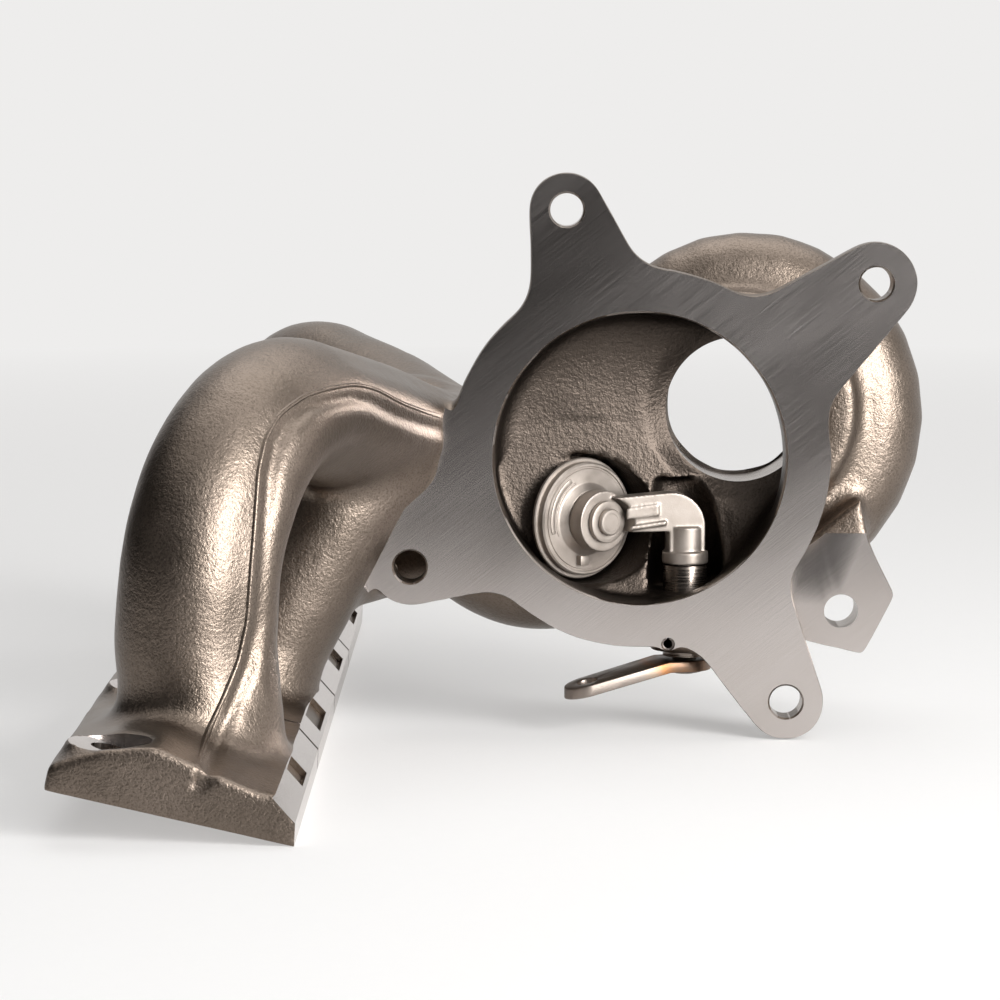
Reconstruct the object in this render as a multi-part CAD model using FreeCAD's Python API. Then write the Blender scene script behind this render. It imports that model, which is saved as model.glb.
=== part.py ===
import FreeCAD, Part
import math
import os

# Turbine housing and exhaust manifold of a four-cylinder engine, cast in one piece, with the
# internal wastegate that is fitted to it. Millimetres. The origin is on the turbine axis at
# the bearing housing joint face. +Y runs along the axis from the gas outlet to that face,
# +X is right and +Z up as the part lies, seen from the outlet.

# Casting walls and the gas passages
wall = 4.5
port_pitch = 88.0
port_count = 4
port_radius = 15.0
root_flare = 4.5
root_sink = 0.8

# Turbine axis: depths are from the joint face, towards the outlet
outlet_depth = 70.0
lip_setback = 25.0
lip_depth = outlet_depth - lip_setback
lip_length = 4.0
throat_depth = 22.0
slot_depth = 12.0
slot_width = 7.0
slot_reach = 34.0
spigot_depth = 7.0
exducer_radius = 21.5
lip_radius = 27.0
inducer_radius = 25.5
spigot_radius = 31.0
core_radius = 35.0
core_depth = lip_depth - 1.0
rim_radius = 46.0
rim_width = 6.5
rim_flank = 4.0

# Volute: the scroll runs from the throat below the axis, up on the right and over the top
volute_depth = 20.5
scroll_start_angle = -84.0
scroll_turn = 318.0
scroll_sections = 24
scroll_inlet_passage = 15.5
scroll_end_passage = 6.0
scroll_inlet_reach = 62.0
scroll_end_reach = 43.0

# Outlet: opening, star flange and the chamber behind it
outlet_x = -30.0
outlet_z = -12.0
outlet_radius = 42.3
outlet_ring_radius = 55.3
outlet_flange_thickness = 9.0
outlet_hole_radius = 4.75
outlet_fillet = 13.0
chamber_radius = 48.0
chamber_length = 38.0
chamber_rounding = 14.0
bell_straight = 15.0
ear_holes = {"top": (-21.3, 71.8), "right": (67.8, 50.6), "low": (42.8, -71.1), "left": (-66.6, -31.5)}
ear_tips = {"top": 10.8, "right": 12.0, "low": 11.2, "left": 11.4}
ear_roots = {"top": (-13.5, 43.0, 18.0), "right": (39.0, 27.0, 19.0),
             "low": (25.0, -38.0, 17.5), "left": (-38.0, -18.0, 19.5)}

# Head flange: its face leans about the Y axis, and its profile is given along and above the face
head_tilt = 12.9
head_edge_x = -121.1
head_edge_z = -94.3
head_width = 64.4
head_near_y = -218.0
head_length = 380.0
first_port_y = -161.0
port_offset = 30.0
clamp_edge_height = 5.8
clamp_edge_inset = 1.0
clamp_bevel_run = 7.0
clamp_bevel_rise = 5.0
head_ridge_offset = 39.0
head_ridge_height = 16.8
head_ledge_offset = 50.5
head_ledge_height = 14.0
head_tip_height = 6.4
stud_offset = 51.5
stud_radius = 4.5
spot_radius = 10.5
spot_height = 11.5
spot_room = 14.0
slit_width = 2.2
slit_reach = 17.0
slit_height = 25.0
pocket_depth = 1.8
pocket_margin = 1.2
pocket_starts = (-174.8, -93.9, 11.4, 109.8)
pocket_lengths = (18.5, 31.0, 24.5, 27.0)
end_step_length = 31.0
end_step_depth = 0.7

# Collector, where the four runners meet, and the leg that feeds the volute
collector_x = -84.0
collector_y = -24.0
collector_z = -17.0
collector_passage = 16.5
collector_reach = 15.0
leg_lean = 3.0
leg_drop = 33.4
leg_bend = 25.0
leg_lap = 5.0

# Runners: the corners of each line, first as steps from its port, then as steps from the
# middle of the collector. The outer two arch high, the inner two lean straight across.
runner_bends = (48.0, 26.0, 26.0, 34.0)
root_height = 28.0
runner_foot = 3.5
runner_run_out = 20.0
runner_rises = (
    ((-3.0, 0, 32), (1.5, 0, 102)),
    ((42.0, 5, 80),),
    ((42.0, -5, 80),),
    ((-1.0, 0, 32), (1.0, 0, 90)),
)
runner_entries = (
    ((-24, -42, 13), (-2, -16, 0)),
    ((-2, -8, 0),),
    ((-2, 8, -1),),
    ((-22, 62, 9), (-2, 18, 0)),
)

# Band along the outer runners, on the turbine's side, and the web from runner 2 to the leg
band_radius = 13.9
band_offset = 9.6
strut_radius = 8.0
strut_start = (-118.0, -68.0, -49.0)
strut_end = (-84.0, -20.5, -45.0)

# Lug for the support bracket
lug_corners = ((14.7, -56.0), (38.8, -39.6), (46.3, -54.5), (37.1, -72.4), (18.4, -68.0))
lug_hole = (30.4, -59.3)
lug_hole_radius = 5.0
lug_face_y = -50.0
lug_thickness = 14.0
web_corners = ((14.7, -56.0), (38.8, -39.6), (36.0, -26.0), (12.0, -44.0))
web_depth = 30.0

# Wastegate seat and flap: the seat faces the way given by its turn from +X about +Z
seat_x = -47.2
seat_setback = 21.2
seat_y = seat_setback - outlet_depth
seat_z = -31.6
seat_turn = -52.0
seat_radius = 17.0
seat_height = 2.0
seat_port_radius = 12.5
seat_port_length = 26.0
pocket_clearance = 1.1
pocket_reach = 22.0
arm_room_radius = 11.0
arm_room_height = 33.0
flap_radius = 17.9
flap_step = 1.2
flap_rim_thickness = 1.6
flap_thickness = 4.0
flap_hub_radius = 10.5
flap_hub_top_radius = 8.6
flap_hub_height = 2.2
flap_gap = 0.02
stem_radius = 3.4
stem_clearance = 0.08
stem_head_radius = 3.9
stem_head_height = 1.6
nib_size = 3.2
nib_height = 2.2
nib_drop = 12.0
nib_side = -2.6
washer_radius = 6.2
washer_thickness = 1.5

# Arm, spindle and bush
arm_gap = 0.3
eye_radius = 9.0
eye_thickness = 5.4
arm_width = 11.5
arm_thickness = 7.0
arm_taper = 1.5
arm_rise = 2.5
elbow_radius = 5.4
elbow_bend = 10.3
collar_radius = 6.8
collar_top_z = -41.0
collar_height = 3.6
spindle_x = -16.0
spindle_setback = 18.0
spindle_y = spindle_setback - outlet_depth
spindle_radius = 3.5
spindle_clearance = 0.05
bush_radius = 6.4
bush_top_z = -45.0
bush_length = 27.0
boss_radius = 11.0
boss_top_z = -53.0
boss_length = 17.5

# Outside lever, welded to the spindle below the bush
lever_gap = 0.9
lever_thickness = 3.2
lever_length = 30.0
lever_turn = 196.0
lever_crank = 14.0
lever_crank_start = 7.0
lever_hub_radius = 7.8
lever_tip_radius = 6.8
lever_hole_radius = 3.1
weld_radius = 6.0
weld_low_radius = 4.1
weld_height = 0.9
spindle_end = 0.3

# Roll pin that locks the bush, and the dowel that clocks the bearing housing
pin_radius = 2.0
pin_bore_radius = 1.3
pin_slot = 0.7
pin_length = 20.0
pin_sink = 1.0
pin_gap = 0.1
pin_z = -66.2
dowel_radius = 2.0
dowel_length = 8.0
dowel_stand = 3.0
dowel_circle = 38.5
dowel_angle = 75.0


def point(x, y, z):
    return FreeCAD.Vector(x, y, z)


def head_point(along, above, y):
    """A place on the head flange, along its face from the clamp edge and above the face."""
    tilt = math.radians(head_tilt)
    x = head_edge_x - along * math.cos(tilt) + above * math.sin(tilt)
    z = head_edge_z + along * math.sin(tilt) + above * math.cos(tilt)
    return point(x, y, z)


def head_normal():
    tilt = math.radians(head_tilt)
    return point(math.sin(tilt), 0, math.cos(tilt))


def cylinder(radius, start, end):
    """A cylinder between two points."""
    axis = end - start
    return Part.makeCylinder(radius, axis.Length, start, axis)


def section(centre, normal, side, radius):
    """A round section square to its normal, with its seam on the side given."""
    turn = FreeCAD.Rotation(side, normal.cross(side), normal, "ZXY")
    ring = Part.Wire(Part.makeCircle(radius))
    ring.Placement = FreeCAD.Placement(centre, turn)
    return ring


def pipe(points, bend, radius):
    """A round solid along straight runs that are joined by tangent arcs of one bend radius."""
    edges = []
    start = points[0]
    for before, corner, after in zip(points, points[1:], points[2:]):
        back = (before - corner).normalize()
        ahead = (after - corner).normalize()
        half = math.acos(back.dot(ahead)) / 2
        tangent = bend / math.tan(half)
        middle = corner + (back + ahead).normalize() * (bend / math.sin(half) - bend)
        arc_start = corner + back * tangent
        arc_end = corner + ahead * tangent
        edges.append(Part.LineSegment(start, arc_start).toShape())
        edges.append(Part.Arc(arc_start, middle, arc_end).toShape())
        start = arc_end
    edges.append(Part.LineSegment(start, points[-1]).toShape())
    direction = (points[1] - points[0]).normalize()
    side = direction.cross(point(0, 1, 0)).normalize()
    return Part.Wire(edges).makePipe(Part.Face(section(points[0], direction, side, radius)))


def revolve_about_y(outline):
    """A turned solid from radius and depth pairs, about the turbine axis."""
    corners = [point(radius, -depth, 0) for radius, depth in outline]
    face = Part.Face(Part.makePolygon(corners + corners[:1]))
    return face.revolve(point(0, 0, 0), point(0, 1, 0), 360)


def tapered_ear(tip, tip_radius, root, root_radius):
    """The pieces of a flat ear: two discs and the block between the lines that touch both."""
    span = root - tip
    turn = math.atan2(span.y, span.x)
    lean = math.acos((tip_radius - root_radius) / span.Length)
    corners = []
    for centre, radius, sign in ((tip, tip_radius, -1), (root, root_radius, -1),
                                 (root, root_radius, 1), (tip, tip_radius, 1)):
        angle = turn + sign * lean
        corners.append(centre + point(radius * math.cos(angle), radius * math.sin(angle), 0))
    middle = Part.Face(Part.makePolygon(corners + corners[:1])).extrude(point(0, 0, 1))
    return [middle, Part.makeCylinder(tip_radius, 1, tip), Part.makeCylinder(root_radius, 1, root)]


def outlet_flange():
    """The star flange: a ring with four ears, joined by concave fillets."""
    ears = []
    for name, (x, z) in ear_holes.items():
        root_x, root_z, root_radius = ear_roots[name]
        ears += tapered_ear(point(x, z, 0), ear_tips[name], point(root_x, root_z, 0), root_radius)
    star = Part.makeCylinder(outlet_ring_radius, 1).fuse(ears).removeSplitter()
    face = [face for face in star.Faces if face.normalAt(0, 0).z < -0.9][0]
    outline = face.OuterWire.makeOffset2D(outlet_fillet).makeOffset2D(-outlet_fillet)
    outline.rotate(point(0, 0, 0), point(1, 0, 0), 90)
    outline.translate(point(outlet_x, -outlet_depth, outlet_z))
    return Part.Face(outline).extrude(point(0, outlet_flange_thickness, 0))


def outlet_holes():
    holes = []
    through = point(0, outlet_flange_thickness + 2, 0)
    for x, z in ear_holes.values():
        start = point(outlet_x + x, -outlet_depth - 1, outlet_z + z)
        holes.append(cylinder(outlet_hole_radius, start, start + through))
    return holes


def head_flange():
    """The long flange that lies on the cylinder head, with the bevelled edge for the clamp rail."""
    outline = ((0, 0), (clamp_edge_inset, clamp_edge_height),
               (clamp_edge_inset + clamp_bevel_run, clamp_edge_height + clamp_bevel_rise),
               (head_ridge_offset, head_ridge_height), (head_ledge_offset, head_ledge_height),
               (head_width, head_tip_height), (head_width, 0))
    corners = [head_point(along, above, head_near_y) for along, above in outline]
    face = Part.Face(Part.makePolygon(corners + corners[:1]))
    return face.extrude(point(0, head_length, 0))


def bevel_cut(start_y, length, depth, margin):
    """A shallow cut into the machined bevel of the head flange."""
    slope = math.atan2(clamp_bevel_rise, clamp_bevel_run)
    run = math.hypot(clamp_bevel_rise, clamp_bevel_run)
    corners = []
    for distance, above in ((margin, 2), (run - margin, 2), (run - margin, -depth), (margin, -depth)):
        along = clamp_edge_inset + distance * math.cos(slope) - above * math.sin(slope)
        height = clamp_edge_height + distance * math.sin(slope) + above * math.cos(slope)
        corners.append(head_point(along, height, start_y))
    face = Part.Face(Part.makePolygon(corners + corners[:1]))
    return face.extrude(point(0, length, 0))


def head_face_cut():
    """The plane cut that takes the runner roots down to the head face."""
    outline = ((0, 0), (head_width, 0), (head_width, -runner_run_out), (0, -runner_run_out))
    corners = [head_point(along, above, head_near_y) for along, above in outline]
    return Part.Face(Part.makePolygon(corners + corners[:1])).extrude(point(0, head_length, 0))


def port_y(index):
    return first_port_y + index * port_pitch


def head_cuts():
    """Stud holes with their spot faces, the slits between ports and the pockets in the bevel."""
    cuts = []
    for index in range(port_count + 1):
        y = port_y(index) - port_pitch / 2
        hole_start = head_point(stud_offset, -1, y)
        spot_start = head_point(stud_offset, spot_height, y)
        cuts.append(cylinder(stud_radius, hole_start, spot_start))
        cuts.append(cylinder(spot_radius, spot_start, spot_start + head_normal() * spot_room))
    for index in range(port_count - 1):
        y = port_y(index) + (port_pitch - slit_width) / 2
        corners = [head_point(along, above, y) for along, above in
                   ((-1, -1), (slit_reach, -1), (slit_reach, slit_height), (-1, slit_height))]
        cuts.append(Part.Face(Part.makePolygon(corners + corners[:1])).extrude(point(0, slit_width, 0)))
    for start_y, length in zip(pocket_starts, pocket_lengths):
        cuts.append(bevel_cut(start_y, length, pocket_depth, pocket_margin))
    cuts.append(bevel_cut(head_near_y - 1, end_step_length + 1, end_step_depth, 0))
    return cuts


def runner_lines(run_out=0.0):
    """The line of each runner: up from its port, over the knee and across to the collector."""
    lines = []
    heart = point(collector_x, collector_y, collector_z)
    for index in range(port_count):
        port = head_point(port_offset, runner_foot, port_y(index))
        rise = [port + point(*step) for step in runner_rises[index]]
        across = [heart + point(*step) for step in runner_entries[index]]
        start = port + (port - rise[0]).normalize() * run_out
        lines.append([start] + rise + across)
    return lines


def runners(grow):
    """The four runners as solids, as outer forms with the wall or as cores that run out below."""
    lines = runner_lines(0.0 if grow else runner_run_out)
    return [pipe(line, bend, port_radius + grow) for line, bend in zip(lines, runner_bends)]


def runner_bands():
    """The narrower form beside each outer runner that makes its section oval."""
    lines = runner_lines()
    solids = []
    for index in (0, port_count - 1):
        line = [corner + point(band_offset, 0, 0) for corner in lines[index]]
        solids.append(pipe(line, runner_bends[index], band_radius))
    return solids


def runner_roots():
    """The flared foot of each runner on the head flange."""
    solids = []
    for line in runner_lines():
        rise = line[1] - line[0]
        solids.append(Part.makeCone(port_radius + wall + root_flare, port_radius + wall - root_sink,
                                    root_height, line[0], rise))
    return solids


def scroll(grow):
    """The volute: round sections that shrink along the scroll, about the turbine axis."""
    rings = []
    for index in range(scroll_sections + 1):
        share = index / scroll_sections
        angle = math.radians(scroll_start_angle + share * scroll_turn)
        passage = scroll_inlet_passage + share * (scroll_end_passage - scroll_inlet_passage)
        reach = scroll_inlet_reach + share * (scroll_end_reach - scroll_inlet_reach)
        out = point(math.cos(angle), 0, math.sin(angle))
        centre = out * (reach - wall - passage) - point(0, volute_depth, 0)
        along = point(-math.sin(angle), 0, math.cos(angle))
        rings.append(section(centre, along, point(0, 1, 0), passage + grow))
    return Part.makeLoft(rings, True, True)


def scroll_inlet():
    angle = math.radians(scroll_start_angle)
    out = point(math.cos(angle), 0, math.sin(angle))
    return out * (scroll_inlet_reach - wall - scroll_inlet_passage) - point(0, volute_depth, 0)


def feed_leg(grow):
    """The leg from the collector down and across to the start of the scroll."""
    start = point(collector_x, -volute_depth, collector_z)
    turn = point(collector_x + leg_lean, -volute_depth, collector_z - leg_drop)
    inlet = scroll_inlet()
    end = inlet + (inlet - turn).normalize() * leg_lap
    return pipe([start, turn, end], leg_bend, collector_passage + grow)


def collector(grow):
    """The short log that the runners open into, with rounded ends."""
    start = point(collector_x, collector_y - collector_reach, collector_z)
    end = point(collector_x, collector_y + collector_reach, collector_z)
    radius = collector_passage + grow
    log = cylinder(radius, start, end)
    return log.fuse([Part.makeSphere(radius, start), Part.makeSphere(radius, end)])


def turbine_body():
    """The wall round the turbine wheel and the rim that the clamp band grips."""
    outline = ((0, 0), (rim_radius, 0), (rim_radius, rim_width - rim_flank),
               (rim_radius - rim_flank * 2, rim_width), (core_radius, rim_width),
               (core_radius, core_depth), (0, core_depth))
    return revolve_about_y(outline)


def turbine_core():
    """The machined bore: outlet lip, shroud over the wheel, and the spigot at the joint face."""
    outline = ((0, lip_depth + 1), (lip_radius, lip_depth + 1), (lip_radius, lip_depth),
               (exducer_radius, lip_depth - lip_length), (exducer_radius, throat_depth),
               (inducer_radius, slot_depth + slot_width), (inducer_radius, spigot_depth),
               (spigot_radius, spigot_depth), (spigot_radius, -1), (0, -1))
    slot = ((0, slot_depth), (slot_reach, slot_depth),
            (slot_reach, slot_depth + slot_width), (0, slot_depth + slot_width))
    return [revolve_about_y(outline), revolve_about_y(slot)]


def outlet_line(start_depth, end_depth, radius):
    """A cylinder about the middle of the outlet opening, between two depths."""
    return cylinder(radius, point(outlet_x, -start_depth, outlet_z), point(outlet_x, -end_depth, outlet_z))


def chamber():
    """The outer form of the outlet chamber behind the flange."""
    inside = outlet_depth - outlet_flange_thickness / 2
    shape = outlet_line(inside, outlet_depth - chamber_length, chamber_radius)
    back = [edge for edge in shape.Edges
            if abs(edge.BoundBox.YMin + outlet_depth - chamber_length) < 0.01
            and edge.BoundBox.YLength < 0.01]
    return shape.makeFillet(chamber_rounding, back)


def chamber_core():
    """The hollow behind the outlet: a straight mouth, then the skew bell down to the lip."""
    mouth = outlet_line(outlet_depth + 1, outlet_depth - bell_straight, outlet_radius)
    across = point(1, 0, 0)
    ahead = point(0, 1, 0)
    wide = section(point(outlet_x, bell_straight - outlet_depth, outlet_z), ahead, across, outlet_radius)
    narrow = section(point(0, -lip_depth, 0), ahead, across, lip_radius)
    return [mouth, Part.makeLoft([wide, narrow], True, True)]


def seat_place(above, side=0.0, up=0.0):
    """A place by the wastegate seat: above its face, to the side along it, and up."""
    turn = math.radians(seat_turn)
    x = seat_x + above * math.cos(turn) - side * math.sin(turn)
    y = seat_y + above * math.sin(turn) + side * math.cos(turn)
    return point(x, y, seat_z + up)


def seat_cylinder(radius, start, end):
    return cylinder(radius, seat_place(start), seat_place(end))


def wastegate_pocket():
    """The room for the flap, cast in front of its raised seat."""
    room = seat_cylinder(flap_radius + pocket_clearance, -seat_height, pocket_reach)
    seat = seat_cylinder(seat_radius, -seat_height - 1, 0)
    return room.cut(seat)


def spindle_line(radius, top, bottom):
    return cylinder(radius, point(spindle_x, spindle_y, top), point(spindle_x, spindle_y, bottom))


def pin_place(depth):
    return point(spindle_x - spindle_radius - pin_gap - pin_radius, -depth, pin_z)


def lug():
    """The bracket lug on the low side of the volute, with its machined face towards the outlet."""
    blocks = []
    for outline, depth in ((lug_corners, lug_thickness), (web_corners, web_depth)):
        corners = [point(x, lug_face_y, z) for x, z in outline]
        face = Part.Face(Part.makePolygon(corners + corners[:1]))
        blocks.append(face.extrude(point(0, depth, 0)))
    return blocks[0].fuse(blocks[1])


def lug_bore():
    x, z = lug_hole
    end_y = lug_face_y + lug_thickness + 1
    return cylinder(lug_hole_radius, point(x, lug_face_y - 1, z), point(x, end_y, z))


def dowel_place(depth):
    angle = math.radians(dowel_angle)
    return point(dowel_circle * math.cos(angle), -depth, dowel_circle * math.sin(angle))


def turbine_housing():
    """The casting: outer forms joined, gas passages cored out, then the machining."""
    outer = runners(wall) + runner_roots() + runner_bands()
    outer += [cylinder(strut_radius, point(*strut_start), point(*strut_end))]
    outer += [collector(wall), feed_leg(wall), scroll(wall), turbine_body(), chamber(), outlet_flange()]
    outer += [lug(), spindle_line(boss_radius, boss_top_z, boss_top_z - boss_length)]
    body = head_flange().fuse(outer).cut(head_face_cut())
    cores = runners(0) + [collector(0), feed_leg(0), scroll(0)] + turbine_core()
    cores += chamber_core() + [wastegate_pocket()]
    cores += [spindle_line(arm_room_radius, boss_top_z + arm_room_height, boss_top_z)]
    cores += [seat_cylinder(seat_port_radius, -seat_port_length, 1)]
    for core in cores:
        body = body.cut(core)
    boss = spindle_line(boss_radius, boss_top_z, boss_top_z - boss_length)
    machining = head_cuts() + outlet_holes() + [lug_bore()]
    machining += [spindle_line(bush_radius, bush_top_z, boss_top_z - boss_length - 1)]
    pin_bottom = pin_place(outlet_depth - pin_sink - pin_length)
    machining += [cylinder(pin_radius, pin_place(outlet_depth + 1), pin_bottom)]
    machining += [cylinder(dowel_radius, dowel_place(dowel_length - dowel_stand), dowel_place(-1))]
    return body.fuse(boss).cut(machining)


def wastegate_flap():
    """The valve disc with its stepped rim, hub, locating nib and the stem that holds it."""
    top = flap_gap + flap_thickness
    hub_top = top + flap_hub_height
    head = hub_top + arm_gap * 2 + eye_thickness + washer_thickness
    shape = seat_cylinder(flap_radius, flap_gap, flap_gap + flap_rim_thickness)
    hub = Part.makeCone(flap_hub_radius, flap_hub_top_radius, flap_hub_height,
                        seat_place(top), seat_place(1) - seat_place(0))
    nib = cylinder(nib_size / 2, seat_place(top - 1, nib_side, -nib_drop),
                   seat_place(top + nib_height, nib_side, -nib_drop))
    return shape.fuse([seat_cylinder(flap_radius - flap_step, flap_gap, top), hub, nib,
                       seat_cylinder(stem_radius, top, head),
                       seat_cylinder(stem_head_radius, head, head + stem_head_height)])


def eye_start():
    """How far above the seat the arm's eye begins."""
    return flap_gap + flap_thickness + flap_hub_height + arm_gap


def flap_washer():
    start = eye_start() + eye_thickness + arm_gap
    ring = seat_cylinder(washer_radius, start, start + washer_thickness)
    return ring.cut(seat_cylinder(stem_radius, start - 1, start + washer_thickness + 1))


def wastegate_arm():
    """The arm with its eye, elbow, collar and spindle, forged as one piece."""
    start = eye_start()
    middle = seat_place(start + eye_thickness / 2)
    reach = point(spindle_x - middle.x, spindle_y - middle.y, 0)
    along = FreeCAD.Vector(reach).normalize()
    square = point(-along.y, along.x, 0)
    far = reach.Length + elbow_radius
    top = seat_z + arm_rise + arm_width / 2
    low = top - arm_width

    def place(distance, height):
        return middle + along * distance + point(0, 0, height - middle.z)

    lean = elbow_bend * (1 - math.sqrt(0.5))
    inner = far - elbow_radius * 2
    straight = [place(far, top - elbow_bend), place(far, collar_top_z), place(inner, collar_top_z),
                place(inner, low), place(2, low), place(2, top - arm_taper), place(far - elbow_bend, top)]
    edges = [Part.LineSegment(start_corner, end_corner).toShape()
             for start_corner, end_corner in zip(straight, straight[1:])]
    edges.append(Part.Arc(straight[-1], place(far - lean, top - lean), straight[0]).toShape())
    side = Part.Face(Part.Wire(edges))
    side.translate(square * -arm_thickness / 2)
    bar = side.extrude(square * arm_thickness)
    elbow = spindle_line(elbow_radius, top - elbow_bend, collar_top_z)
    collar = spindle_line(collar_radius, collar_top_z, collar_top_z - collar_height)
    shaft_end = lever_top() - lever_thickness - weld_height - spindle_end
    shaft = spindle_line(spindle_radius, collar_top_z, shaft_end)
    eye = seat_cylinder(eye_radius, start, start + eye_thickness)
    keep_off = seat_cylinder(flap_radius, start - arm_width, start)
    washer_room = seat_cylinder(washer_radius + 1, start + eye_thickness, start + eye_thickness + arm_width)
    shape = eye.fuse([bar.cut([keep_off, washer_room]), elbow, collar, shaft])
    return shape.cut(seat_cylinder(stem_radius + stem_clearance, start - 1, start + eye_thickness + 1))


def spindle_bush():
    """The plain bush that the spindle turns in, notched by its roll pin."""
    shape = spindle_line(bush_radius, bush_top_z, bush_top_z - bush_length)
    shape = shape.cut(spindle_line(spindle_radius + spindle_clearance, bush_top_z + 1,
                                   bush_top_z - bush_length - 1))
    return shape.cut(cylinder(pin_radius, pin_place(outlet_depth), pin_place(0)))


def bush_pin():
    """The slotted roll pin, sunk into the outlet face."""
    start = pin_place(outlet_depth - pin_sink)
    end = pin_place(outlet_depth - pin_sink - pin_length)
    beyond = point(0, 1, 0)
    tube = cylinder(pin_radius, start, end)
    tube = tube.cut(cylinder(pin_bore_radius, start - beyond, end + beyond))
    slot = Part.makeBox(pin_slot, pin_length + 2, pin_radius + 1,
                        point(start.x - pin_slot / 2, start.y - 1, start.z))
    return tube.cut(slot)


def lever_top():
    return bush_top_z - bush_length - lever_gap


def lever_frame(shape):
    """Turns a lever shape drawn along +X to its real direction, under the spindle."""
    shape.rotate(point(0, 0, 0), point(0, 0, 1), lever_turn)
    shape.translate(point(spindle_x, spindle_y, lever_top()))
    return shape


def actuator_lever():
    """The pressed lever: a flat hub, a crank, and an arm that slopes to the rod hole."""
    crank = math.radians(lever_crank)
    along = point(math.cos(crank), 0, -math.sin(crank))
    square = point(math.sin(crank), 0, math.cos(crank))
    bend = point(lever_crank_start, 0, 0)
    low_bend = bend - point(lever_thickness * math.tan(crank / 2), 0, lever_thickness)
    end = bend + along * (lever_length + lever_tip_radius)
    width = lever_hub_radius + 1
    side = [point(-width, 0, 0), bend, end, end - square * lever_thickness, low_bend,
            point(-width, 0, -lever_thickness)]
    corners = [corner - point(0, width, 0) for corner in side]
    plate = Part.Face(Part.makePolygon(corners + corners[:1])).extrude(point(0, 2 * width, 0))
    outline = tapered_ear(point(0, 0, 0), lever_hub_radius, point(lever_length, 0, 0), lever_tip_radius)
    plan = outline[0].fuse(outline[1:]).removeSplitter()
    grow = FreeCAD.Matrix()
    grow.scale(1, 1, lever_length * 2)
    plan = plan.transformGeometry(grow)
    plan.translate(point(0, 0, -lever_length))
    shape = plate.common(plan)
    rod_hole = bend + along * ((lever_length - bend.x) / along.x)
    through = square * lever_thickness * 2
    shape = shape.cut([cylinder(spindle_radius, point(0, 0, -lever_thickness * 2), point(0, 0, 1)),
                       cylinder(lever_hole_radius, rod_hole - through, rod_hole + through)])
    return lever_frame(shape)


def lever_weld():
    """The weld bead round the end of the spindle, under the lever."""
    start = lever_top() - lever_thickness
    bead = Part.makeCone(weld_low_radius, weld_radius, weld_height,
                         point(spindle_x, spindle_y, start - weld_height), point(0, 0, 1))
    return bead.cut(spindle_line(spindle_radius, start + 1, start - weld_height - 1))


def dowel_pin():
    return cylinder(dowel_radius, dowel_place(dowel_length - dowel_stand), dowel_place(-dowel_stand))


def main():
    os.makedirs("parts", exist_ok=True)
    makers = (turbine_housing, wastegate_flap, flap_washer, wastegate_arm, spindle_bush,
              bush_pin, actuator_lever, lever_weld, dowel_pin)
    for maker in makers:
        shape = maker()
        solid = shape.Solids[0]
        print(maker.__name__, solid.isValid(), len(shape.Solids), round(solid.Volume / 1000, 2))
        solid.exportStep("parts/" + maker.__name__ + ".step")


main()
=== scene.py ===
import itertools
import math

import bmesh
import bpy
import numpy as np
from bpy.props import FloatProperty, IntProperty, PointerProperty
from mathutils import Matrix, Vector
from mathutils.bvhtree import BVHTree


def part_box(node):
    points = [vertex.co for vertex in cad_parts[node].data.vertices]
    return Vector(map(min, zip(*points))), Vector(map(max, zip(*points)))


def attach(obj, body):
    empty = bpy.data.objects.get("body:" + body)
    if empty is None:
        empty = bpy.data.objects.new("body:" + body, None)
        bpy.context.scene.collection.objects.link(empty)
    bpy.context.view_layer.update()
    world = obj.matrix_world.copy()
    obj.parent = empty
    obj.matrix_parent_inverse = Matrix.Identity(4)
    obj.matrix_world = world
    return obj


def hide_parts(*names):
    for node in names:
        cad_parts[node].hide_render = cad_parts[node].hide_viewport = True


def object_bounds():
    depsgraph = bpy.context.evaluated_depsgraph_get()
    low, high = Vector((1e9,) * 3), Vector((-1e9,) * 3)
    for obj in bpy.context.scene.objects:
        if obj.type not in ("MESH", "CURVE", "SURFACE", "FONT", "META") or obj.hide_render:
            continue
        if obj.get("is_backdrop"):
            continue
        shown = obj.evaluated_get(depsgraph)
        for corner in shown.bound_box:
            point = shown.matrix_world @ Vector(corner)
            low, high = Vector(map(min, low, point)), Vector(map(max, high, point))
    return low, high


bl_info = {
    "name": "Turbine Housing",
    "version": (1, 0, 0),
    "blender": (4, 5, 0),
    "location": "View3D > Sidebar > Turbine Housing",
    "description": "Finishes the cast turbine housing with its wastegate, and sets up its studio",
    "category": "Object",
}

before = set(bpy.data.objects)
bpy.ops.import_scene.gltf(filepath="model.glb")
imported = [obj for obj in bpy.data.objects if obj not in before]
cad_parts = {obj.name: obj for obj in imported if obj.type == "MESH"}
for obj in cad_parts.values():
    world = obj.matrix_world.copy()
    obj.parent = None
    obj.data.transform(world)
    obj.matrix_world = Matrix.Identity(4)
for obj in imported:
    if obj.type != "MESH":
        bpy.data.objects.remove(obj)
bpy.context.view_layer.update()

MM = 0.001

# Outlet flange, in millimetres like every size below
OUTLET_DEPTH = 70.0
OUTLET_FLANGE = 9.0
OUTLET_X = -30.0
OUTLET_Z = -12.0
OUTLET_RADIUS = 42.3
OUTLET_HOLE_RADIUS = 4.75
EAR_HOLES = ((-21.3, 71.8), (67.8, 50.6), (42.8, -71.1), (-66.6, -31.5))
EDGE_BREAK = 0.5

# Turbine axis
LIP_DEPTH = 45.0
LIP_LENGTH = 4.0
THROAT_DEPTH = 22.0
EXDUCER_RADIUS = 21.5
JOINT_REACH = 60.0
SPIGOT_RADIUS = 31.0
SPIGOT_DEPTH = 7.0
DOWEL_RADIUS = 2.0
DOWEL_CIRCLE = 38.5
DOWEL_ANGLE = 75.0
DOWEL_HOLE_DEPTH = 5.0

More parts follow.
